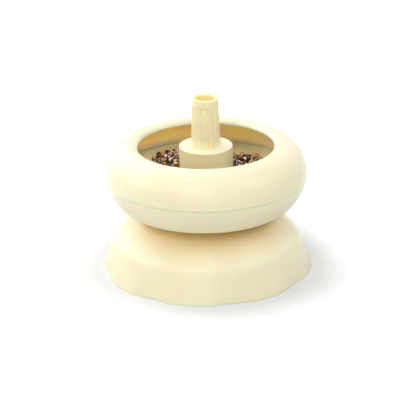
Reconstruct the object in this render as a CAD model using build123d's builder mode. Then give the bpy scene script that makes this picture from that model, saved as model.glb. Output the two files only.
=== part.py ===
"""A small hand bead spinner: a bead bowl with a fluted finger grip that spins on a bell-shaped base.

Millimetres. +Z is the spin axis and points up, the origin is the centre of the base's resting face,
and -Y is the front. Outlines are drawn on the XZ plane, as (radius, height), and turned about Z.
"""

from build123d import *
import os
from math import cos, pi, sin, sqrt

# Base: a moulded bell with a lobed foot
FOOT_R = 50.5
LOBE_COUNT = 8
LOBE_HEIGHT = 0.8
LOBE_CREST_FLATTENING = 0.25
FIRST_VALLEY_DEG = 12.2
POINTS_PER_LOBE = 8
SHOULDER_Z = 15.8
SHOULDER_ROUND = 11.0
SKIRT_LEAN = 5.0
DECK_Z = 29.0
DECK_SLOPE_REACH = 13.5
DECK_ROUND = 9.0
BASE_WALL = 2.4
RIB_COUNT = 4
FIRST_RIB_DEG = 45
RIB_THICKNESS = 1.6
RIB_FOOT_GAP = 5.0
BOSS_R = 7.0
BOSS_FOOT_GAP = 10.0
WELL_DEPTH = 1.2
WELL_CLEARANCE = 1.0

# Spindle, with the washer and screw that hold it down from below
SPINDLE_R = 2.5
SPINDLE_TIP_REACH = 1.8
SPINDLE_TIP_CHAMFER = 0.6
SPINDLE_COLLAR_WIDTH = 2.1
SPINDLE_COLLAR_HEIGHT = 1.6
SEAT_CLEARANCE = 0.03
SCREW_R = 1.5
SCREW_REACH = 7.5
SCREW_HOLE_SPARE = 1.5
SCREW_HEAD_R = 2.8
SCREW_HEAD_HEIGHT = 2.4
HEX_SOCKET_R = 1.4
HEX_SOCKET_DEPTH = 1.3
CLAMP_WASHER_R = 4.8
CLAMP_WASHER_THICKNESS = 0.8

# Bearing: a flanged bush that turns on the spindle and stays on it
THRUST_WASHER_R = 6.4
THRUST_WASHER_THICKNESS = 0.8
RUNNING_CLEARANCE = 0.05
BUSH_R = 4.0
BUSH_RISE = 0.6
BUSH_LEAD_IN = 0.5
FLANGE_R = 7.6
FLANGE_THICKNESS = 1.6
CLIP_SETBACK = 0.3
CLIP_THICKNESS = 0.7
CLIP_GROOVE_DEPTH = 0.4
CLIP_END_GAP = 1.6
CLIP_FLOAT = 0.15

# Bowl: a tray below and an in-rolled rim above, joined by a tongue at the widest line
BOWL_R = 49.0
BOWL_WALL = 2.5
SEAM_STEP = 0.3
SEAM_GAP = 0.12
SEAM_EDGE_ROUND = 0.25
TONGUE_INSET = 1.1
TONGUE_WIDTH = 0.9
TONGUE_DEPTH = 1.2
TONGUE_CLEARANCE = 0.05
HUB_FOOT_DROP = 0.8
TRAY_DEPTH = 14.6
TRAY_SIDE_REACH = 10.2
TRAY_SIDE_SHARES = (0.39, 0.44)
TRAY_LEDGE_STEP = 0.4
RIM_WALL = 3.0
RIM_HEIGHT = 16.25
RIM_ROLL_IN = 12.8
RIM_SIDE_SHARES = (0.7, 0.36)
MOUTH_OVERHANG = 3.1
MOUTH_NOSE_DROP = 1.6
LIP_THICKNESS = 2.2

# Hub of the bowl, and the collar that covers it
HUB_SLEEVE_WALL = 2.15
HUB_TUBE_WALL = 1.8
HUB_ROOF_GAP = 5.3
HUB_WEB_COUNT = 6
HUB_WEB_THICKNESS = 1.4
COLLAR_R = 12.9
COLLAR_HEIGHT = 27.2
COLLAR_WALL = 1.7
COLLAR_ROOF = 2.2
COLLAR_CLEARANCE = 0.1
COLLAR_EDGE_ROUND = 0.4

# Finger grip: a hollow fluted post
GRIP_FOOT_R = 7.1
GRIP_HEIGHT = 24.3
GRIP_TAPER = 0.55
GRIP_WALL = 1.85
GRIP_BORE_FLOOR = 2.4
GRIP_PLAIN_BAND = 3.6
SPIGOT_SHOULDER = 1.3
SPIGOT_LENGTH = 3.4
SPIGOT_CLEARANCE = 0.05
SNAP_BEAD = 0.35
FLUTE_COUNT = 14
FLUTE_CUTTER_R = 1.8
FLUTE_DEPTH = 0.4

# Beads lying in the tray, as one low ring of heaped beads
BEAD_CLEARANCE = 0.35
HEAP_DEPTH = 10.4
HEAP_HUB_DROP = 0.6
HEAP_CREST_SHARE = 0.48
HEAP_ROLL_SHARE = 0.85
HEAP_EDGE_SHARE = 0.2

# How far every cut runs past the face that it opens
OVERRUN = 1.0

# Heights, from the base's deck up through the bearing to the grip
boss_top_z = DECK_Z - WELL_DEPTH
washer_bottom_z = boss_top_z + SPINDLE_COLLAR_HEIGHT
flange_bottom_z = washer_bottom_z + THRUST_WASHER_THICKNESS
flange_top_z = flange_bottom_z + FLANGE_THICKNESS
tray_bottom_z = flange_top_z + HUB_FOOT_DROP
tray_floor_z = tray_bottom_z + BOWL_WALL
seam_z = tray_bottom_z + TRAY_DEPTH
tray_top_z = seam_z - SEAM_GAP
rim_crest_z = seam_z + RIM_HEIGHT
collar_top_z = tray_floor_z + COLLAR_HEIGHT
collar_roof_z = collar_top_z - COLLAR_ROOF
hub_top_z = collar_roof_z - HUB_ROOF_GAP
bush_top_z = hub_top_z + BUSH_RISE
clip_bottom_z = bush_top_z + CLIP_FLOAT
spindle_top_z = bush_top_z + SPINDLE_TIP_REACH
grip_top_z = collar_top_z + GRIP_HEIGHT
grip_bore_z = collar_top_z + GRIP_BORE_FLOOR
heap_crest_z = tray_floor_z + HEAP_DEPTH

# Radii that follow from their neighbours
shoulder_r = FOOT_R - SKIRT_LEAN
deck_edge_r = shoulder_r - DECK_SLOPE_REACH
hub_bore_r = BUSH_R + RUNNING_CLEARANCE
hub_sleeve_r = hub_bore_r + HUB_SLEEVE_WALL
collar_bore_r = COLLAR_R - COLLAR_WALL
hub_tube_r = collar_bore_r - COLLAR_CLEARANCE
tongue_outer_r = BOWL_R - TONGUE_INSET
tongue_inner_r = tongue_outer_r - TONGUE_WIDTH
rim_inner_r = BOWL_R - RIM_WALL
rim_crest_r = BOWL_R - RIM_ROLL_IN
mouth_r = rim_crest_r - MOUTH_OVERHANG
tray_r = BOWL_R - SEAM_STEP
tray_ledge_r = rim_inner_r - TRAY_LEDGE_STEP
tray_floor_r = BOWL_R - TRAY_SIDE_REACH
inner_floor_r = tray_floor_r - BOWL_WALL / 2
spigot_r = GRIP_FOOT_R - SPIGOT_SHOULDER
grip_top_r = GRIP_FOOT_R - GRIP_TAPER
grip_bore_r = grip_top_r - GRIP_WALL

os.makedirs("parts", exist_ok=True)


def finish(piece, name):
    """Labels a finished piece and writes it to its own file."""
    piece.part.label = name
    export_step(piece.part, f"parts/{name}.step")


def lobed_outline(mean_r):
    """Points round the foot: broad petals with a narrower valley between each pair."""
    count = LOBE_COUNT * POINTS_PER_LOBE
    first_valley = FIRST_VALLEY_DEG * pi / 180 - pi / 2
    points = []
    for i in range(count):
        angle = 2 * pi * i / count
        phase = LOBE_COUNT * (angle - first_valley)
        r = mean_r - LOBE_HEIGHT * cos(phase) - LOBE_CREST_FLATTENING * cos(2 * phase)
        points.append((r * cos(angle), r * sin(angle)))
    return points


def inset_corner(before, corner, after, inset):
    """Where two lines that meet at a corner meet again once both are moved inwards."""
    arriving = (Vector(*corner) - Vector(*before)).normalized()
    leaving = (Vector(*after) - Vector(*corner)).normalized()
    inward = Vector(-arriving.Y, arriving.X), Vector(-leaving.Y, leaving.X)
    return Vector(*corner) + (inward[0] + inward[1]) * (inset / (1 + inward[0].dot(inward[1])))


def bell(inset):
    """Adds the base's bell shape to the open part, with every wall moved in by inset."""
    foot, shoulder = (FOOT_R, 0), (shoulder_r, SHOULDER_Z)
    deck_edge, deck_centre = (deck_edge_r, DECK_Z), (0, DECK_Z)
    foot_r = FOOT_R - inset / (Vector(*shoulder) - Vector(*foot)).normalized().Y
    with BuildSketch(Plane.XZ) as dome:
        with BuildLine():
            side = FilletPolyline(
                (foot_r, 0),
                inset_corner(foot, shoulder, deck_edge, inset),
                inset_corner(shoulder, deck_edge, deck_centre, inset),
                (0, DECK_Z - inset),
                radius=[SHOULDER_ROUND - inset, DECK_ROUND - inset],
                mode=Mode.PRIVATE,
            )
            skirt, *dome_side = side.edges().sort_by(Axis.Y)
            skirt_top = skirt.vertices().sort_by(Axis.Y)[-1]
            add(dome_side)
            Polyline((0, DECK_Z - inset), (0, skirt_top.Y), (skirt_top.X, skirt_top.Y))
        make_face()
    revolve(dome.sketch, axis=Axis.Z)
    with BuildSketch(Plane.XY) as lobed_foot:
        with BuildLine():
            Spline(*lobed_outline(foot_r), periodic=True)
        make_face()
    with BuildSketch(Plane.XY.offset(skirt_top.Y)) as round_top:
        Circle(skirt_top.X)
    loft(sections=[lobed_foot.sketch.face(), round_top.sketch.face()], ruled=True)


def ring(outer_r, inner_r, bottom_z, top_z, mode=Mode.ADD):
    """Adds a plain ring, or a disc where inner_r is zero, to the open part."""
    with BuildSketch(Plane.XY.offset(bottom_z)) as disc:
        Circle(outer_r)
        if inner_r:
            Circle(inner_r, mode=Mode.SUBTRACT)
    extrude(disc.sketch, amount=top_z - bottom_z, mode=mode)


def side_curve(start, end, shares):
    """A bowl side that leaves start upright or downright and comes level at end."""
    lift = (end[1] - start[1]) * shares[0]
    reach = (start[0] - end[0]) * shares[1]
    return Bezier(start, (start[0], start[1] + lift), (end[0] + reach, end[1]), end)


# Hollow of the base, less the boss and the ribs that stand in it
with BuildPart() as base_hollow:
    bell(BASE_WALL)
    ring(BOSS_R, 0, BOSS_FOOT_GAP, DECK_Z, mode=Mode.SUBTRACT)
    with BuildSketch(Plane.XY.offset(RIB_FOOT_GAP)):
        with PolarLocations(0, RIB_COUNT, start_angle=FIRST_RIB_DEG):
            Rectangle(FOOT_R, RIB_THICKNESS, align=(Align.MIN, Align.CENTER))
        Circle(BOSS_R - RIB_THICKNESS / 2, mode=Mode.SUBTRACT)
    extrude(amount=DECK_Z, mode=Mode.SUBTRACT)

with BuildPart() as base_shell:
    bell(0)
    add(base_hollow.part, mode=Mode.SUBTRACT)
    ring(FLANGE_R + WELL_CLEARANCE, 0, boss_top_z, DECK_Z + OVERRUN, mode=Mode.SUBTRACT)
    ring(SPINDLE_R + SEAT_CLEARANCE, 0, BOSS_FOOT_GAP - OVERRUN, DECK_Z, mode=Mode.SUBTRACT)
finish(base_shell, "base_shell")

# Steel spindle, tapped from below and grooved near its tip for the clip
with BuildPart() as spindle:
    ring(SPINDLE_R, 0, BOSS_FOOT_GAP, spindle_top_z)
    ring(SPINDLE_R + SPINDLE_COLLAR_WIDTH, 0, boss_top_z, washer_bottom_z)
    screw_hole_z = BOSS_FOOT_GAP + SCREW_REACH + SCREW_HOLE_SPARE
    ring(SCREW_R + SEAT_CLEARANCE, 0, BOSS_FOOT_GAP, screw_hole_z, mode=Mode.SUBTRACT)
    ring(
        SPINDLE_R + OVERRUN,
        SPINDLE_R - CLIP_GROOVE_DEPTH,
        clip_bottom_z,
        clip_bottom_z + CLIP_THICKNESS,
        mode=Mode.SUBTRACT,
    )
    chamfer(spindle.edges().sort_by(Axis.Z)[-1], SPINDLE_TIP_CHAMFER)
finish(spindle, "spindle")

with BuildPart() as clamp_washer:
    ring(CLAMP_WASHER_R, SCREW_R + SEAT_CLEARANCE, BOSS_FOOT_GAP - CLAMP_WASHER_THICKNESS, BOSS_FOOT_GAP)
finish(clamp_washer, "clamp_washer")

screw_head_top_z = BOSS_FOOT_GAP - CLAMP_WASHER_THICKNESS
with BuildPart() as spindle_screw:
    ring(SCREW_HEAD_R, 0, screw_head_top_z - SCREW_HEAD_HEIGHT, screw_head_top_z)
    ring(SCREW_R, 0, screw_head_top_z, BOSS_FOOT_GAP + SCREW_REACH)
    with BuildSketch(Plane.XY.offset(screw_head_top_z - SCREW_HEAD_HEIGHT)):
        RegularPolygon(HEX_SOCKET_R, 6)
    extrude(amount=HEX_SOCKET_DEPTH, mode=Mode.SUBTRACT)
finish(spindle_screw, "spindle_screw")

with BuildPart() as thrust_washer:
    ring(THRUST_WASHER_R, SPINDLE_R + RUNNING_CLEARANCE, washer_bottom_z, flange_bottom_z)
finish(thrust_washer, "thrust_washer")

# Bush that carries the bowl; its plain barrel is what the bowl lifts off
with BuildPart() as bearing_bush:
    with BuildSketch(Plane.XZ):
        with BuildLine():
            Polyline(
                (SPINDLE_R + RUNNING_CLEARANCE, flange_bottom_z),
                (FLANGE_R, flange_bottom_z),
                (FLANGE_R, flange_top_z),
                (BUSH_R, flange_top_z),
                (BUSH_R, bush_top_z - BUSH_LEAD_IN),
                (BUSH_R - BUSH_LEAD_IN, bush_top_z),
                (SPINDLE_R + RUNNING_CLEARANCE, bush_top_z),
                close=True,
            )
        make_face()
    revolve(axis=Axis.Z)
finish(bearing_bush, "bearing_bush")

# Open spring clip in the spindle's groove, which keeps the bush down
with BuildPart() as spindle_clip:
    clip_inner_r = SPINDLE_R - CLIP_GROOVE_DEPTH + SEAT_CLEARANCE
    with BuildSketch(Plane.XY.offset(clip_bottom_z + SEAT_CLEARANCE)):
        Circle(BUSH_R - CLIP_SETBACK)
        Circle(clip_inner_r, mode=Mode.SUBTRACT)
        Rectangle(BUSH_R, CLIP_END_GAP, align=(Align.MIN, Align.CENTER), mode=Mode.SUBTRACT)
    extrude(amount=CLIP_THICKNESS - 2 * SEAT_CLEARANCE)
finish(spindle_clip, "spindle_clip")

# Lower half of the bowl, with the hub moulded in
with BuildPart() as bowl_tray:
    groove_r = tongue_inner_r - TONGUE_CLEARANCE, tongue_outer_r + TONGUE_CLEARANCE
    groove_z = tray_top_z - TONGUE_DEPTH
    with BuildSketch(Plane.XZ):
        with BuildLine():
            outside = side_curve((tray_r, tray_top_z), (tray_floor_r, tray_bottom_z), TRAY_SIDE_SHARES)
            tray_side = side_curve((tray_ledge_r, tray_top_z), (inner_floor_r, tray_floor_z), TRAY_SIDE_SHARES)
            Polyline(
                outside @ 0,
                (groove_r[1], tray_top_z),
                (groove_r[1], groove_z),
                (groove_r[0], groove_z),
                (groove_r[0], tray_top_z),
                tray_side @ 0,
            )
            Polyline(
                outside @ 1,
                (FLANGE_R, tray_bottom_z),
                (FLANGE_R, flange_top_z),
                (hub_bore_r, flange_top_z),
                (hub_bore_r, tray_floor_z),
                tray_side @ 1,
            )
        make_face()
        fillet(vertices().sort_by(Axis.X)[-1], SEAM_EDGE_ROUND)
    revolve(axis=Axis.Z)
    ring(hub_sleeve_r, hub_bore_r, tray_floor_z, hub_top_z)
    ring(hub_tube_r, hub_tube_r - HUB_TUBE_WALL, tray_floor_z, hub_top_z)
    with BuildSketch(Plane.XY.offset(tray_floor_z)):
        with PolarLocations(0, HUB_WEB_COUNT):
            Rectangle(hub_tube_r - HUB_TUBE_WALL / 2, HUB_WEB_THICKNESS, align=(Align.MIN, Align.CENTER))
        Circle((hub_bore_r + hub_sleeve_r) / 2, mode=Mode.SUBTRACT)
    extrude(amount=hub_top_z - tray_floor_z)
finish(bowl_tray, "bowl_tray")

# Upper half of the bowl: its tongue drops into the tray's edge, its top rolls in to the mouth
with BuildPart() as bowl_rim:
    tongue_foot_z = seam_z - TONGUE_DEPTH
    lip_under = (mouth_r + LIP_THICKNESS / 2, rim_crest_z - MOUTH_NOSE_DROP - LIP_THICKNESS / 2)
    inner_crest = (rim_crest_r, rim_crest_z - BOWL_WALL)
    with BuildSketch(Plane.XZ):
        with BuildLine():
            outside = side_curve((BOWL_R, seam_z), (rim_crest_r, rim_crest_z), RIM_SIDE_SHARES)
            inside = side_curve((rim_inner_r, seam_z), inner_crest, RIM_SIDE_SHARES)
            roll = TangentArc(outside @ 1, (mouth_r, rim_crest_z - MOUTH_NOSE_DROP), tangent=(-1, 0))
            nose = TangentArc(roll @ 1, lip_under, tangent=roll % 1)
            Line(nose @ 1, inside @ 1)
            Polyline(
                inside @ 0,
                (tongue_inner_r, seam_z),
                (tongue_inner_r, tongue_foot_z),
                (tongue_outer_r, tongue_foot_z),
                (tongue_outer_r, seam_z),
                outside @ 0,
            )
        make_face()
        fillet(vertices().sort_by(Axis.X)[-1], SEAM_EDGE_ROUND)
    revolve(axis=Axis.Z)
finish(bowl_rim, "bowl_rim")

# Cap over the hub, flat on top, with a hole for the grip's spigot
with BuildPart() as hub_collar:
    ring(COLLAR_R, collar_bore_r, tray_floor_z, collar_top_z)
    ring(COLLAR_R, spigot_r + SPIGOT_CLEARANCE, collar_roof_z, collar_top_z)
    fillet(hub_collar.edges().group_by(Axis.Z)[-1].sort_by(SortBy.LENGTH)[-1], COLLAR_EDGE_ROUND)
finish(hub_collar, "hub_collar")

# One flute cutter: a round bar that follows the grip's taper and ends in a ball
grip_slope = GRIP_TAPER / GRIP_HEIGHT
flute_axis_out = FLUTE_CUTTER_R - FLUTE_DEPTH
flute_foot_z = collar_top_z - OVERRUN
flute_top_z = grip_top_z - GRIP_PLAIN_BAND - sqrt(FLUTE_CUTTER_R**2 - flute_axis_out**2)
with BuildPart() as flute_cutter:
    foot_r = GRIP_FOOT_R - grip_slope * (flute_foot_z - collar_top_z) + flute_axis_out
    top_r = GRIP_FOOT_R - grip_slope * (flute_top_z - collar_top_z) + flute_axis_out
    with BuildLine():
        course = Line((foot_r, 0, flute_foot_z), (top_r, 0, flute_top_z))
    with BuildSketch(Plane(origin=course @ 0, z_dir=course % 0)):
        Circle(FLUTE_CUTTER_R)
    sweep()
    with Locations(course @ 1):
        Sphere(FLUTE_CUTTER_R)

with BuildPart() as grip_post:
    rim_r = (grip_top_r - grip_bore_r) / 2
    rim_foot_z = grip_top_z - rim_r
    spigot_foot_z = collar_top_z - SPIGOT_LENGTH
    with BuildSketch(Plane.XZ):
        with BuildLine():
            rim = ThreePointArc(
                (grip_top_r, rim_foot_z),
                ((grip_top_r + grip_bore_r) / 2, grip_top_z),
                (grip_bore_r, rim_foot_z),
            )
            Polyline(
                rim @ 1,
                (grip_bore_r, grip_bore_z),
                (0, grip_bore_z),
                (0, spigot_foot_z),
                (spigot_r, spigot_foot_z),
                (spigot_r + SNAP_BEAD, (spigot_foot_z + collar_roof_z) / 2),
                (spigot_r, collar_roof_z),
                (spigot_r, collar_top_z),
                (GRIP_FOOT_R, collar_top_z),
                rim @ 0,
            )
        make_face()
    revolve(axis=Axis.Z)
    with PolarLocations(0, FLUTE_COUNT):
        add(flute_cutter.part, mode=Mode.SUBTRACT)
finish(grip_post, "grip_post")

# The heaped beads: nearly level from the collar out, and lying against the tray's wall
with BuildPart() as seed_beads:
    heap_floor_z = tray_floor_z + BEAD_CLEARANCE
    heap_hub_r = COLLAR_R + BEAD_CLEARANCE
    heap_foot_r = inner_floor_r - BEAD_CLEARANCE
    heap_edge = tray_side @ HEAP_EDGE_SHARE - Vector(BEAD_CLEARANCE, 0)
    heap_width = heap_edge.X - heap_hub_r
    with BuildSketch(Plane.XZ):
        with BuildLine():
            crown = Bezier(
                (heap_hub_r, heap_crest_z - HEAP_HUB_DROP),
                (heap_hub_r + heap_width * HEAP_CREST_SHARE, heap_crest_z + HEAP_HUB_DROP),
                (heap_hub_r + heap_width * HEAP_ROLL_SHARE, heap_crest_z),
                heap_edge,
            )
            Polyline(
                crown @ 1,
                (heap_foot_r, heap_floor_z),
                (heap_hub_r, heap_floor_z),
                crown @ 0,
            )
        make_face()
    revolve(axis=Axis.Z)
finish(seed_beads, "seed_beads")
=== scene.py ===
"""Looks of a small hand bead spinner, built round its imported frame.

Laid out as an add-on and run as a script. Lengths are in metres, +Z is the spin axis, -Y the front.
"""

import math
import random

import bpy
from mathutils import Euler, Matrix, Quaternion, Vector


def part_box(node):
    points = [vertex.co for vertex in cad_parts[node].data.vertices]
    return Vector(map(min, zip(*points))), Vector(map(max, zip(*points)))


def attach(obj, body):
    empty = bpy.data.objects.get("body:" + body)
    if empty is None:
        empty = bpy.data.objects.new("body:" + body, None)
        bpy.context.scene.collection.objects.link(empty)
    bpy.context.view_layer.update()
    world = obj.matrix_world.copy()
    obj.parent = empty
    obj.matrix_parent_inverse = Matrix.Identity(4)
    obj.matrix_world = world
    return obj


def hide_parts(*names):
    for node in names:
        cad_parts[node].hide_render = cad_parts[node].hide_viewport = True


bl_info = {
    "name": "Bead Spinner",
    "version": (1, 0, 0),
    "blender": (4, 5, 0),
    "location": "3D View > Sidebar > Spinner",
    "description": "Builds the finishes, the seed beads and the studio of a hand bead spinner",
    "category": "Add Mesh",
}

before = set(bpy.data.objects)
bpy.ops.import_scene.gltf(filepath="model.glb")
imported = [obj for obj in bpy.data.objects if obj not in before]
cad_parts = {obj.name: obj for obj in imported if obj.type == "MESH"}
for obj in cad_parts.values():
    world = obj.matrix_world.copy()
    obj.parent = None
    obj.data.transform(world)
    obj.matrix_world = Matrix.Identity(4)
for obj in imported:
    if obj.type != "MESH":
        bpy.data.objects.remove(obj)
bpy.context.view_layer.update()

MM = 0.001

# Places that follow from the frame
BASE_LOW, BASE_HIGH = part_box("base_shell")
BEADS_LOW, BEADS_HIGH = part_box("seed_beads")
COLLAR_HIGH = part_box("hub_collar")[1]
SEAM_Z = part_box("bowl_rim")[0].z


class SpinnerSettings(bpy.types.PropertyGroup):
    """Sizes and colours that a user may change."""

    cream_light: bpy.props.FloatVectorProperty(
        name="Cream, light",
        description="Colour of the moulded plastic where it is palest",
        subtype="COLOR",
        size=3,
        min=0,
        max=1,
        default=(0.87, 0.81, 0.59),
    )
    cream_deep: bpy.props.FloatVectorProperty(
        name="Cream, deep",
        description="Colour of the moulded plastic where it is deepest",
        subtype="COLOR",
        size=3,
        min=0,
        max=1,
        default=(0.865, 0.795, 0.55),
    )
    # Painted shade: the deeper cream in the grip's flutes and bore stands for the shade in those
    # recesses
    cream_recess: bpy.props.FloatVectorProperty(
        name="Cream, recesses",
        description="Colour of the moulded plastic in the grip's flutes and bore",
        subtype="COLOR",
        size=3,
        min=0,
        max=1,
        default=(0.98, 0.84, 0.45),
    )
    # Painted shade: the deeper, more orange cream on the deck stands for the shadow that the bowl
    # casts there
    cream_deck: bpy.props.FloatVectorProperty(
        name="Cream, deck",
        description="Colour of the moulded plastic on the base's deck, below the bowl",
        subtype="COLOR",
        size=3,
        min=0,
        max=1,
        default=(0.74, 0.54, 0.23),
    )
    cream_hub: bpy.props.FloatVectorProperty(
        name="Cream, hub",
        description="Colour of the moulded plastic on the collar's top and the grip",
        subtype="COLOR",
        size=3,
        min=0,
        max=1,
        default=(0.96, 0.85, 0.62),
    )
    # Painted glow and shade: the orange cream on the rim's inner wall stands for light coming
    # through the wall and for the shade inside the bowl
    cream_inside: bpy.props.FloatVectorProperty(
        name="Cream, inside",
        description="Colour of the moulded plastic inside the rim, where light comes through it",
        subtype="COLOR",
        size=3,
        min=0,
        max=1,
        default=(0.999, 0.8, 0.55),
    )
    # Painted shade: the deeper orange cream on the collar's side and in the tray stands for the
    # shade inside the bowl
    cream_side: bpy.props.FloatVectorProperty(
        name="Cream, sides in the bowl",
        description="Colour of the moulded plastic on the collar's side and inside the tray",
        subtype="COLOR",
        size=3,
        min=0,
        max=1,
        default=(0.999, 0.83, 0.5),
    )
    bead_width: bpy.props.FloatProperty(
        name="Bead width",
        description="Outside diameter of a seed bead",
        default=2.7 * MM,
        min=1.5 * MM,
        max=4 * MM,
        unit="LENGTH",
        precision=5,
    )
    bead_length: bpy.props.FloatProperty(
        name="Bead length",
        description="Length of a seed bead along its hole",
        default=1.9 * MM,
        min=1 * MM,
        max=4 * MM,
        unit="LENGTH",
        precision=5,
    )
    bead_wall: bpy.props.FloatProperty(
        name="Bead wall",
        description="Thickness of the glass round a bead's hole",
        default=0.82 * MM,
        min=0.2 * MM,
        max=1.5 * MM,
        unit="LENGTH",
        precision=5,
    )
    bead_seed: bpy.props.IntProperty(
        name="Bead seed",
        description="Start of the random fall of the beads",
        default=11,
        min=0,
    )


def settings():
    """The scene's own copy of the sizes and colours."""
    return bpy.context.scene.spinner


def deselect_all():
    """Leaves nothing selected, so that the next operator acts on its own piece alone."""
    bpy.ops.object.select_all(action="DESELECT")


# --- Node trees ---


class Nodes:
    """A node tree, filled one node after another."""

    def __init__(self, tree):
        self.tree = tree

    def node(self, kind, **values):
        """Adds one node and sets the named attributes of it."""
        made = self.tree.nodes.new(kind)
        for name, value in values.items():
            setattr(made, name, value)
        return made

    def feed(self, value, socket):
        """Gives an input socket a plain number or colour, or what another node puts out."""
        if isinstance(value, bpy.types.NodeSocket):
            self.tree.links.new(value, socket)
        else:
            socket.default_value = value

    def number(self, operation, *values):
        """A number worked out from others."""
        made = self.node("ShaderNodeMath", operation=operation)
        for value, socket in zip(values, made.inputs):
            self.feed(value, socket)
        return made.outputs["Value"]

    def vector(self, x=0.0, y=0.0, z=0.0):
        """A vector from its X, Y and Z."""
        made = self.node("ShaderNodeCombineXYZ")
        for value, socket in zip((x, y, z), made.inputs):
            self.feed(value, socket)
        return made.outputs["Vector"]

    def parts(self, vector):
        """The X, Y and Z of a vector."""
        made = self.node("ShaderNodeSeparateXYZ")
        self.feed(vector, made.inputs["Vector"])
        return made.outputs["X"], made.outputs["Y"], made.outputs["Z"]

    def length(self, vector):
        """How long a vector is."""
        made = self.node("ShaderNodeVectorMath", operation="LENGTH")
        self.feed(vector, made.inputs[0])
        return made.outputs["Value"]

    def span(self, factor, low, high, start=0.0, end=1.0):
        """A number that goes from low to high as factor goes from start to end."""
        made = self.node("ShaderNodeMapRange")
        self.feed(factor, made.inputs["Value"])
        self.feed(start, made.inputs["From Min"])
        self.feed(end, made.inputs["From Max"])
        self.feed(low, made.inputs["To Min"])
        self.feed(high, made.inputs["To Max"])
        return made.outputs["Result"]

    def seen_directly(self):
        """1 for what the camera, gloss and glass see, 0 for the light that falls on things."""
        path = self.node("ShaderNodeLightPath")
        seen = path.outputs["Is Camera Ray"]
        for kind in ("Is Glossy Ray", "Is Transmission Ray"):
            seen = self.number("MAXIMUM", seen, path.outputs[kind])
        return seen


class Shader(Nodes):
    """A material's nodes, patterned by the object's own coordinates."""

    def __init__(self, name):
        self.material = bpy.data.materials.new(name)
        self.material.use_nodes = True
        super().__init__(self.material.node_tree)
        self.surface = self.tree.nodes["Principled BSDF"]
        self.place = self.node("ShaderNodeTexCoord").outputs["Object"]

    def give(self, name, value):
        """Gives the surface one of its values, plain or patterned."""
        self.feed(value, self.surface.inputs[name])

    def noise(self, size, detail=2.0, place=None):
        """A cloud pattern whose features are about size metres across, from 0 to 1."""
        made = self.node("ShaderNodeTexNoise")
        made.inputs["Scale"].default_value = 1 / size
        made.inputs["Detail"].default_value = detail
        self.feed(place or self.place, made.inputs["Vector"])
        return made.outputs["Fac"]

    def clouds(self, size, deep, pale, start=0.3, end=0.7):
        """Colours that drift from deep to pale in clouds about size metres across."""
        made = self.node("ShaderNodeValToRGB")
        stops = zip(made.color_ramp.elements, (start, end), (deep, pale))
        for element, position, colour in stops:
            element.position = position
            element.color = (*colour, 1)
        self.feed(self.noise(size), made.inputs["Fac"])
        return made.outputs["Color"]

    def mix(self, factor, first, second):
        """The first colour where factor is 0, the second where it is 1."""
        made = self.node("ShaderNodeMix", data_type="RGBA")
        self.feed(factor, made.inputs["Factor"])
        self.feed(first, made.inputs["A"])
        self.feed(second, made.inputs["B"])
        return made.outputs["Result"]

    def roughness(self, pattern, low, high):
        """Makes the surface smoother and rougher by a pattern."""
        self.give("Roughness", self.span(pattern, low, high))

    def bump(self, pattern, depth):
        """Raises the surface by a pattern, depth metres from its lowest to its highest."""
        made = self.node("ShaderNodeBump")
        made.inputs["Distance"].default_value = depth
        self.feed(pattern, made.inputs["Height"])
        self.give("Normal", made.outputs["Normal"])

    def height(self):
        """The place's height over the base's foot."""
        return self.parts(self.place)[2]

    def level(self):
        """The place as seen from the spin axis, without its height."""
        x, y, _ = self.parts(self.place)
        return self.vector(x, y)

    def normal(self):
        """The surface's normal in the object's own axes."""
        own = self.node("ShaderNodeVectorTransform", vector_type="NORMAL")
        own.convert_from, own.convert_to = "WORLD", "OBJECT"
        self.feed(self.node("ShaderNodeNewGeometry").outputs["Normal"], own.inputs["Vector"])
        return own.outputs["Vector"]


def cover(piece, material):
    """Gives a piece one material, in every slot that it has."""
    slots = piece.material_slots
    if not slots:
        piece.data.materials.append(material)
    for slot in slots:
        slot.material = material


# --- Where shade and glow are painted on the mouldings, and where light bleeds far ---

# How far the normal leans inwards where a wall starts to face the axis, and where it fully does
FACING_IN = (-0.4, -0.85)

# How far the normal rises where the tray's bottom starts, and where it is all bottom
TRAY_BOTTOM = (0.1, 0.4)

# How far the normal rises where the collar's side ends, and where its top is all top
COLLAR_EDGE = (0.2, 0.7)

# Height on the base's side where the deck's painted shade starts
DECK_SHADE_START = 18 * MM

# Height over which the seam between the bowl's mouldings stops the light that bleeds along the wall
SEAM_SHADE = 5 * MM

# The grip's ribs: their radius at one height, what it loses per metre of height, how deep the
# valleys are between them, how much of that depth stays pale, and how strongly painted shade darkens
# the valleys
RIB_R, RIB_Z = 7.1 * MM, 62.3 * MM
RIB_TAPER = 0.0096
RIB_DEPTH = 0.4 * MM
RIB_PALE = 0.15
RIB_PAINTED_SHADE = 0.65


def facing_in(shader):
    """1 where the surface faces the spin axis, 0 where it faces up, down or away from it."""
    outward = shader.node("ShaderNodeVectorMath", operation="NORMALIZE")
    shader.feed(shader.level(), outward.inputs[0])
    across = shader.node("ShaderNodeVectorMath", operation="DOT_PRODUCT")
    shader.feed(outward.outputs["Vector"], across.inputs[0])
    shader.feed(shader.normal(), across.inputs[1])
    return shader.span(across.outputs["Value"], 0, 1, *FACING_IN)


def facing_up(shader, low, high):
    """0 where the surface's normal rises less than low, 1 where it rises more than high."""
    return shader.span(shader.parts(shader.normal())[2], 0, 1, low, high)


def tray_inside(shader):
    """The tray's inner wall and bottom."""
    return shader.number("MAXIMUM", facing_in(shader), facing_up(shader, *TRAY_BOTTOM))


def collar_side(shader):
    """The collar's upright side, and not its top: painted shade makes the side darker than the top.
    """
    return shader.span(facing_up(shader, *COLLAR_EDGE), 1, 0)


def deck(shader):
    """The base's deck, where the shadow of the bowl is painted into the colour."""
    return shader.span(shader.height(), 0, 1, DECK_SHADE_START, BASE_HIGH.z)


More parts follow.
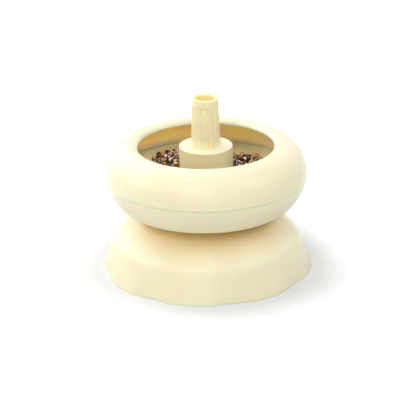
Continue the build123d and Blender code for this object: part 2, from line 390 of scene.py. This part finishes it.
def clear_of_seam(shader, glow):
    """A glow that fades to nothing at the seam, where one moulding hands no light to the other."""
    off = shader.number("ABSOLUTE", shader.number("SUBTRACT", shader.height(), SEAM_Z))
    return shader.number("MULTIPLY", glow, shader.span(off, 0, 1, 0, SEAM_SHADE))


def rim_glow(shader):
    """The rim's inner wall, away from the seam."""
    return clear_of_seam(shader, facing_in(shader))


def tray_glow(shader):
    """The tray's inner wall and bottom, away from the seam."""
    return clear_of_seam(shader, tray_inside(shader))


def flutes(shader):
    """The valleys between the grip's ribs, and its bore, where shade is painted."""
    rise = shader.number("SUBTRACT", shader.height(), RIB_Z)
    untapered = shader.number("MULTIPLY_ADD", rise, RIB_TAPER, shader.length(shader.level()))
    pale_from = RIB_R - RIB_PALE * RIB_DEPTH
    valley = shader.span(untapered, RIB_PAINTED_SHADE, 0, RIB_R - RIB_DEPTH, pale_from)
    return shader.number("MAXIMUM", valley, facing_in(shader))


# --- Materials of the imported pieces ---

# How far light bleeds through the plastic: outside, and on the thin walls that glow
BOWL_REACH = (1.2 * MM, 12 * MM)
HUB_REACH = (0.4 * MM, 3 * MM)

# How far red, green and blue bleed, as shares of the reach
CREAM_BLEED = (1.0, 0.5, 0.24)
CREAM_IOR = 1.49

# The cream mouldings: palest and deepest colour, where they glow, how far light bleeds there,
# where shade is painted on them (glow and shade inside the rim), and in what colour
MOULDINGS = (
    ("base_shell", "cream_light", "cream_deep", facing_in, BOWL_REACH, deck, "cream_deck"),
    ("bowl_tray", "cream_light", "cream_deep", tray_glow, BOWL_REACH, tray_inside, "cream_side"),
    ("bowl_rim", "cream_light", "cream_deep", rim_glow, BOWL_REACH, facing_in, "cream_inside"),
    ("hub_collar", "cream_hub", "cream_light", facing_in, HUB_REACH, collar_side, "cream_side"),
    ("grip_post", "cream_hub", "cream_light", facing_in, HUB_REACH, flutes, "cream_recess"),
)

STEEL_NODES = ("spindle", "clamp_washer", "spindle_screw", "spindle_clip")
BEARING_NODES = ("thrust_washer", "bearing_bush")


def cream_plastic(name, light, deep, glow, reach, painted_shading_mask, painted_shading_colour):
    """Cream moulded plastic: satin, faintly clouded, with light that bleeds a little way in, and
    with shade (glow inside the rim) painted into its colour where the mask says.
    """
    shader = Shader(name)
    clouded = shader.clouds(30 * MM, deep, light)
    # Painted shade, and inside the rim painted glow: the masked faces take the shading colour in
    # place of the clouded cream
    shader.give("Base Color", shader.mix(painted_shading_mask(shader), clouded, (*painted_shading_colour, 1)))
    shader.roughness(shader.noise(6 * MM), low=0.3, high=0.38)
    shader.give("Subsurface Weight", 1.0)
    shader.give("Subsurface Radius", CREAM_BLEED)
    shader.give("Subsurface Scale", shader.span(glow(shader), *reach))
    shader.give("IOR", CREAM_IOR)
    shader.bump(shader.noise(0.5 * MM), depth=0.004 * MM)
    return shader.material


def turned_steel():
    """Steel turned on a lathe, with fine rings round the spin axis."""
    shader = Shader("turned_steel")
    rings = shader.noise(0.12 * MM, detail=1.0, place=shader.vector(z=shader.height()))
    shader.give("Base Color", shader.clouds(4 * MM, (0.5, 0.5, 0.51), (0.64, 0.64, 0.65)))
    shader.give("Metallic", 1.0)
    shader.roughness(rings, low=0.22, high=0.36)
    shader.bump(rings, depth=0.006 * MM)
    return shader.material


def bearing_plastic():
    """Plain white bearing plastic, waxy and a little mottled."""
    shader = Shader("bearing_plastic")
    shader.give("Base Color", shader.clouds(3 * MM, (0.74, 0.74, 0.71), (0.82, 0.82, 0.79)))
    shader.roughness(shader.noise(1 * MM), low=0.42, high=0.52)
    shader.bump(shader.noise(0.3 * MM), depth=0.005 * MM)
    return shader.material


class SPINNER_OT_mouldings(bpy.types.Operator):
    """Gives the base, the bowl, the collar and the grip their cream plastic"""

    bl_idname = "spinner.mouldings"
    bl_label = "Cream mouldings"

    def execute(self, context):
        look = settings()
        for name, light, deep, glow, reach, painted_shading_mask, painted_shading_colour in MOULDINGS:
            light, deep, painted_shading_colour = (tuple(getattr(look, colour)) for colour in (light, deep, painted_shading_colour))
            material = cream_plastic(name + "_cream", light, deep, glow, reach, painted_shading_mask, painted_shading_colour)
            cover(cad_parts[name], material)
        return {"FINISHED"}


class SPINNER_OT_bearing(bpy.types.Operator):
    """Gives the spindle, its fasteners and the bearing pieces their finishes"""

    bl_idname = "spinner.bearing"
    bl_label = "Spindle and bearing"

    def execute(self, context):
        steel, plastic = turned_steel(), bearing_plastic()
        for name in STEEL_NODES:
            cover(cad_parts[name], steel)
        for name in BEARING_NODES:
            cover(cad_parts[name], plastic)
        return {"FINISHED"}


# --- Studio ---

# The camera stands in front, a little above, and is turned slightly against level
CAMERA_ELEVATION_DEG = 21.3
CAMERA_ROLL_DEG = 0.99
CAMERA_DISTANCE = 1.0
CAMERA_LENS = 185.5
CAMERA_SENSOR = 36.0

# A point on the spin axis, and the pixel that shows it in a square picture
TARGET = Vector((0, 0, 45 * MM))
TARGET_PIXEL = (206.64, 178.34)
PICTURE_SIZE = 400

# The floor's own light where it is seen directly: near the object, and how far out it is white
FLOOR_WIDTH = 6.0
FLOOR_COLOUR = (0.68, 0.69, 0.7)
FLOOR_LIFT = 0.09
FLOOR_NEAR, FLOOR_FAR = 0.055, 0.12

WORLD_LIGHT = 0.03
WHITE = (1, 1, 1, 1)

# Each lamp: name, place, width and watts; all point at the middle of the picture
LAMPS = (
    ("front_lamp", Vector((-0.3, -0.95, 0.7)), 0.6, 4.1),
    ("front_high_lamp", Vector((-0.1, -0.65, 1.1)), 0.5, 1.9),
    ("front_right_lamp", Vector((0.35, -0.95, 0.8)), 0.6, 1.6),
    ("front_low_lamp", Vector((0.1, -1.2, 0.25)), 0.5, 1.2),
    ("top_lamp", Vector((-0.1, 0.25, 1.2)), 0.9, 4.0),
    ("back_left_lamp", Vector((-0.65, 0.7, 0.6)), 1.0, 8.2),
    ("back_right_lamp", Vector((0.6, 0.75, 0.6)), 1.0, 2.9),
    ("right_lamp", Vector((0.75, -0.3, 0.75)), 0.6, 3.4),
    ("left_lamp", Vector((-0.95, -0.1, 0.5)), 0.5, 3.3),
)


def picture_middle():
    """The point that the middle of the picture shows."""
    rise = math.radians(CAMERA_ELEVATION_DEG)
    pixel = CAMERA_DISTANCE * CAMERA_SENSOR / CAMERA_LENS / PICTURE_SIZE
    across = Vector((1, 0, 0))
    upward = Vector((0, math.sin(rise), math.cos(rise)))
    middle = TARGET - across * (TARGET_PIXEL[0] - PICTURE_SIZE / 2) * pixel
    return middle - upward * (PICTURE_SIZE / 2 - TARGET_PIXEL[1]) * pixel


def add_camera():
    """A long lens whose picture shows the target at its pixel."""
    rise = math.radians(CAMERA_ELEVATION_DEG)
    place = TARGET + Vector((0, -math.cos(rise), math.sin(rise))) * CAMERA_DISTANCE
    bpy.ops.object.camera_add(location=place)
    camera = bpy.context.object
    camera.name = "studio_camera"
    camera.rotation_mode = "QUATERNION"
    turn = (picture_middle() - place).to_track_quat("-Z", "Y")
    roll = Quaternion((0, 0, 1), -math.radians(CAMERA_ROLL_DEG))
    camera.rotation_quaternion = turn @ roll
    camera.data.lens = CAMERA_LENS
    camera.data.sensor_width = CAMERA_SENSOR
    bpy.context.scene.camera = camera


def pale_floor():
    """A matt floor that keeps the object's shadow and lifts to the backdrop's white further out."""
    material = bpy.data.materials.new("pale_floor")
    material.use_nodes = True
    nodes = Nodes(material.node_tree)
    nodes.tree.nodes.clear()
    matt = nodes.node("ShaderNodeBsdfDiffuse")
    nodes.feed((*FLOOR_COLOUR, 1), matt.inputs["Color"])
    distance = nodes.length(nodes.node("ShaderNodeTexCoord").outputs["Object"])
    lift = nodes.span(distance, FLOOR_LIFT, 1, FLOOR_NEAR, FLOOR_FAR)
    glow = nodes.node("ShaderNodeEmission")
    nodes.feed(nodes.span(nodes.seen_directly(), 0, lift), glow.inputs["Strength"])
    both = nodes.node("ShaderNodeAddShader")
    nodes.feed(matt.outputs["BSDF"], both.inputs[0])
    nodes.feed(glow.outputs["Emission"], both.inputs[1])
    out = nodes.node("ShaderNodeOutputMaterial")
    nodes.feed(both.outputs["Shader"], out.inputs["Surface"])
    return material


def add_floor():
    """The floor, level with the base's foot."""
    deselect_all()
    bpy.ops.mesh.primitive_plane_add(size=FLOOR_WIDTH, location=(0, 0, BASE_LOW.z))
    floor = bpy.context.object
    floor.name = "studio_floor"
    floor.data.materials.append(pale_floor())


def add_world():
    """Even soft light from all round, and a white backdrop where it is seen directly."""
    world = bpy.data.worlds.new("studio_world")
    bpy.context.scene.world = world
    world.use_nodes = True
    nodes = Nodes(world.node_tree)
    sky = nodes.tree.nodes["Background"]
    nodes.feed(nodes.span(nodes.seen_directly(), WORLD_LIGHT, 1), sky.inputs["Strength"])
    nodes.feed(WHITE, sky.inputs["Color"])


def add_lamp(name, place, width, watts):
    """A square soft lamp turned to the object."""
    bpy.ops.object.light_add(type="AREA", location=place)
    lamp = bpy.context.object
    lamp.name = name
    lamp.data.size = width
    lamp.data.energy = watts
    lamp.rotation_mode = "QUATERNION"
    lamp.rotation_quaternion = (picture_middle() - place).to_track_quat("-Z", "Y")


class SPINNER_OT_stage(bpy.types.Operator):
    """Builds the floor, the lamps, the world and the camera"""

    bl_idname = "spinner.stage"
    bl_label = "Studio"

    def execute(self, context):
        add_camera()
        add_floor()
        add_world()
        for lamp in LAMPS:
            add_lamp(*lamp)
        return {"FINISHED"}


# --- Seed beads ---

# Bead finishes: name, share of the heap, pale and deep colour, metallic, roughness, transmission
BEAD_FINISHES = (
    ("bronze", 0.26, (0.12, 0.06, 0.04), (0.02, 0.012, 0.01), 0.8, 0.16, 0.0),
    ("copper", 0.22, (0.85, 0.4, 0.2), (0.42, 0.16, 0.07), 0.5, 0.2, 0.0),
    ("rose_silver", 0.2, (1.0, 0.86, 0.8), (0.66, 0.46, 0.42), 0.5, 0.12, 0.0),
    ("gold_lustre", 0.12, (0.95, 0.66, 0.34), (0.6, 0.32, 0.13), 0.3, 0.14, 0.1),
    ("grey_silver", 0.1, (0.8, 0.78, 0.76), (0.2, 0.19, 0.19), 0.7, 0.14, 0.0),
    ("clear_cream", 0.1, (0.97, 0.88, 0.7), (0.85, 0.7, 0.46), 0.0, 0.06, 0.2),
)
GLASS_IOR = 1.52
COAT_ROUGHNESS = 0.04

# A bead's hole: the near-black shade painted on its wall, the map's V on the outside, and how far
# from that V the hole starts
HOLE_PAINTED_SHADE = (0.01, 0.007, 0.005)
OUTSIDE_V = 0.5
HOLE_EDGE = (0.27, 0.33)

# Faces round a bead and round its wall
BEAD_FACETS = 10
BEAD_WALL_FACETS = 6

# Share of the beads that lie with the hole towards the front, and how far they stray from it
FRONT_SHARE = 0.65
FRONT_SIDE_DEG = 38
FRONT_RISE_DEG = 40

# Mounds and hollows of the heap: x, y, rise and width in millimetres
HEAP_SWELLS = (
    (-16, 32, 2.8, 9),
    (-33, 27, -4.0, 8),
    (13, 37, -1.2, 4),
    (22, -26, 1.0, 8),
    (-8, -36, -1.0, 7),
    (36, -4, 0.8, 6),
)

# How many beads are dropped, and how near two of them may come, as a share of their width
BEAD_TRIES = 15000
BEAD_PACKING = 0.97

# A falling bead's rolling: tries, ways looked at in each, shrink of its step, and least gain
ROLL_TRIES = 9
ROLL_WAYS = 5
ROLL_SHRINK = 0.6
ROLL_GAIN = 1e-6

# The tray under the heap: share of a bead's radius kept from its edge, how far in from there its
# bottom starts to curve up, and how steeply
EDGE_CLEAR = 0.2
FOOT_IN = 6 * MM
FOOT_SLOPE = 1.1


def inside_hole(shader):
    """1 in a bead's hole, where shade is painted, 0 on its outside, from the map that runs round the
    wall of its ring.
    """
    along = shader.parts(shader.node("ShaderNodeUVMap", uv_map="UVMap").outputs["UV"])[1]
    off = shader.number("ABSOLUTE", shader.number("SUBTRACT", along, OUTSIDE_V))
    return shader.span(off, 0, 1, *HOLE_EDGE)


def bead_finish(name, pale, deep, metallic, roughness, transmission):
    """Glass with a fired metal or lustre coat that thins and thickens from bead to bead, and painted
    shade in its hole.
    """
    shader = Shader("bead_" + name)
    coat = shader.clouds(2.2 * MM, deep, pale, start=0.35, end=0.6)
    # Painted shade: the wall of the hole is near black
    shader.give("Base Color", shader.mix(inside_hole(shader), coat, (*HOLE_PAINTED_SHADE, 1)))
    shader.give("Metallic", metallic)
    shader.give("Transmission Weight", transmission)
    shader.give("IOR", GLASS_IOR)
    shader.roughness(shader.noise(0.8 * MM), low=0.8 * roughness, high=1.3 * roughness)
    shader.give("Coat Weight", 1.0)
    shader.give("Coat Roughness", COAT_ROUGHNESS)
    return shader.material


def one_bead():
    """The shape of one seed bead: a ring drawn out along its hole into a short rounded tube."""
    look = settings()
    deselect_all()
    half_wall = look.bead_wall / 2
    bpy.ops.mesh.primitive_torus_add(
        major_segments=BEAD_FACETS,
        minor_segments=BEAD_WALL_FACETS,
        major_radius=look.bead_width / 2 - half_wall,
        minor_radius=half_wall,
    )
    bead = bpy.context.object
    bpy.ops.object.mode_set(mode="EDIT")
    bpy.ops.mesh.select_all(action="SELECT")
    bpy.ops.transform.resize(value=(1, 1, look.bead_length / look.bead_wall))
    bpy.ops.mesh.normals_make_consistent(inside=False)
    bpy.ops.object.mode_set(mode="OBJECT")
    bpy.ops.object.shade_smooth()
    shape = bead.data.copy()
    bpy.data.objects.remove(bead)
    return shape


def bead_turn(chance):
    """How a bead lies: some with the hole towards the front, the others any way round."""
    roll = Quaternion((0, 0, 1), chance.uniform(0, math.tau))
    if chance.random() < FRONT_SHARE:
        side = math.radians(chance.uniform(-FRONT_SIDE_DEG, FRONT_SIDE_DEG))
        rise = math.radians(chance.uniform(0, FRONT_RISE_DEG))
        level = math.cos(rise)
        hole = Vector((math.sin(side) * level, -math.cos(side) * level, math.sin(rise)))
        return (hole.to_track_quat("Z", "Y") @ roll).to_matrix().to_4x4()
    return Euler([chance.uniform(0, math.tau) for _ in range(3)]).to_matrix().to_4x4()


def heap_profile():
    """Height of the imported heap's top at each of its radii, from the hub outwards."""
    top = {}
    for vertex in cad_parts["seed_beads"].data.vertices:
        r = round(math.hypot(vertex.co.x, vertex.co.y) / MM, 1) * MM
        top[r] = max(top.get(r, 0), vertex.co.z)
    return sorted(top.items())


class BeadHeap:
    """Beads dropped one by one into the tray, each rolling to the lowest place near its fall."""

    def __init__(self, chance, width):
        self.chance = chance
        self.radius = width / 2
        self.cell = width
        self.cells = {}
        self.places = []
        self.profile = heap_profile()
        self.inner_r = COLLAR_HIGH.x + self.radius
        self.outer_r = BEADS_HIGH.x - self.radius * EDGE_CLEAR
        self.foot_r = self.outer_r - FOOT_IN

    def cell_at(self, x, y):
        """Column and row of the square, one bead wide, that a bead at x, y belongs to."""
        return int(x // self.cell), int(y // self.cell)

    def floor(self, r):
        """Height of the tray under a bead's lowest point."""
        return BEADS_LOW.z + max(0.0, r - self.foot_r) * FOOT_SLOPE

    def top(self, x, y):
        """Height that the heap may reach here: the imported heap's top, with low swells and dips."""
        r = math.hypot(x, y)
        height = self.profile[-1][1]
        for (near, low), (far, high) in zip(self.profile, self.profile[1:]):
            if near <= r <= far:
                height = low + (high - low) * (r - near) / (far - near)
        for place_x, place_y, rise, width in HEAP_SWELLS:
            off = math.hypot(x - place_x * MM, y - place_y * MM) / (width * MM)
            height += rise * MM * math.exp(-off * off / 2)
        return height

    def landing(self, x, y):
        """Height of a bead's centre when it comes straight down at x, y."""
        best = self.floor(math.hypot(x, y)) + self.radius
        column, row = self.cell_at(x, y)
        reach = 4 * self.radius * self.radius
        for i in (column - 1, column, column + 1):
            for j in (row - 1, row, row + 1):
                for a, b, c in self.cells.get((i, j), ()):
                    gap = reach - (a - x) ** 2 - (b - y) ** 2
                    if gap > 0:
                        best = max(best, c + math.sqrt(gap))
        return best

    def settle(self, x, y):
        """Rolls a falling bead towards lower ground, in shorter and shorter steps."""
        height = self.landing(x, y)
        step = self.radius
        for _ in range(ROLL_TRIES):
            turn = self.chance.uniform(0, math.tau)
            moved = False
            for k in range(ROLL_WAYS):
                a = x + step * math.cos(turn + k * math.tau / ROLL_WAYS)
                b = y + step * math.sin(turn + k * math.tau / ROLL_WAYS)
                if self.inner_r <= math.hypot(a, b) <= self.outer_r:
                    lower = self.landing(a, b)
                    if lower < height - ROLL_GAIN:
                        x, y, height, moved = a, b, lower, True
                        break
            if not moved:
                step *= ROLL_SHRINK
        return x, y, height

    def fill(self, tries):
        """Drops beads until tries of them are used up, and returns where they lie."""
        for _ in range(tries):
            r = math.sqrt(self.chance.uniform(self.inner_r**2, self.outer_r**2))
            angle = self.chance.uniform(0, math.tau)
            x, y, z = self.settle(r * math.cos(angle), r * math.sin(angle))
            if z + self.radius > self.top(x, y):
                continue
            self.cells.setdefault(self.cell_at(x, y), []).append((x, y, z))
            self.places.append(Vector((x, y, z)))
        return self.places


def bead_piece(name, shape, placements, material):
    """One piece from copies of a bead, one copy with its own mesh at each placement."""
    deselect_all()
    for placement in placements:
        bead = bpy.data.objects.new(name, shape.copy())
        bead.data.transform(placement)
        bpy.context.scene.collection.objects.link(bead)
        bead.select_set(True)
    bpy.context.view_layer.objects.active = bead
    bpy.ops.object.join()
    piece = bpy.context.object
    piece.name = name
    cover(piece, material)
    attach(piece, "bowl")
    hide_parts("seed_beads")


class SPINNER_OT_beads(bpy.types.Operator):
    """Fills the tray with loose seed beads"""

    bl_idname = "spinner.beads"
    bl_label = "Seed beads"

    def execute(self, context):
        look = settings()
        chance = random.Random(look.bead_seed)
        shape = one_bead()
        heap = BeadHeap(chance, look.bead_width * BEAD_PACKING)
        groups = {finish[0]: [] for finish in BEAD_FINISHES}
        shares = [finish[1] for finish in BEAD_FINISHES]
        for place in heap.fill(BEAD_TRIES):
            tilt = bead_turn(chance)
            name = chance.choices(list(groups), shares)[0]
            groups[name].append(Matrix.Translation(place) @ tilt)
        for name, _, pale, deep, metallic, roughness, transmission in BEAD_FINISHES:
            material = bead_finish(name, pale, deep, metallic, roughness, transmission)
            bead_piece("seed_beads_" + name, shape, groups[name], material)
        return {"FINISHED"}


# --- Add-on ---


class SPINNER_PT_panel(bpy.types.Panel):
    """Sizes, colours and steps of the bead spinner"""

    bl_idname = "SPINNER_PT_panel"
    bl_label = "Bead Spinner"
    bl_space_type = "VIEW_3D"
    bl_region_type = "UI"
    bl_category = "Spinner"

    def draw(self, context):
        column = self.layout.column()
        for name in SpinnerSettings.__annotations__:
            column.prop(context.scene.spinner, name)
        for step in STEPS:
            column.operator(step.bl_idname)


STEPS = (SPINNER_OT_stage, SPINNER_OT_mouldings, SPINNER_OT_bearing, SPINNER_OT_beads)
CLASSES = (SpinnerSettings, *STEPS, SPINNER_PT_panel)


def register():
    for cls in CLASSES:
        bpy.utils.register_class(cls)
    bpy.types.Scene.spinner = bpy.props.PointerProperty(type=SpinnerSettings)


def unregister():
    del bpy.types.Scene.spinner
    for cls in reversed(CLASSES):
        bpy.utils.unregister_class(cls)


def main():
    """Builds everything in order."""
    register()
    bpy.context.scene.view_settings.view_transform = "Standard"
    bpy.ops.spinner.stage()
    bpy.ops.spinner.mouldings()
    bpy.ops.spinner.bearing()
    bpy.ops.spinner.beads()


if __name__ == "__main__":
    main()
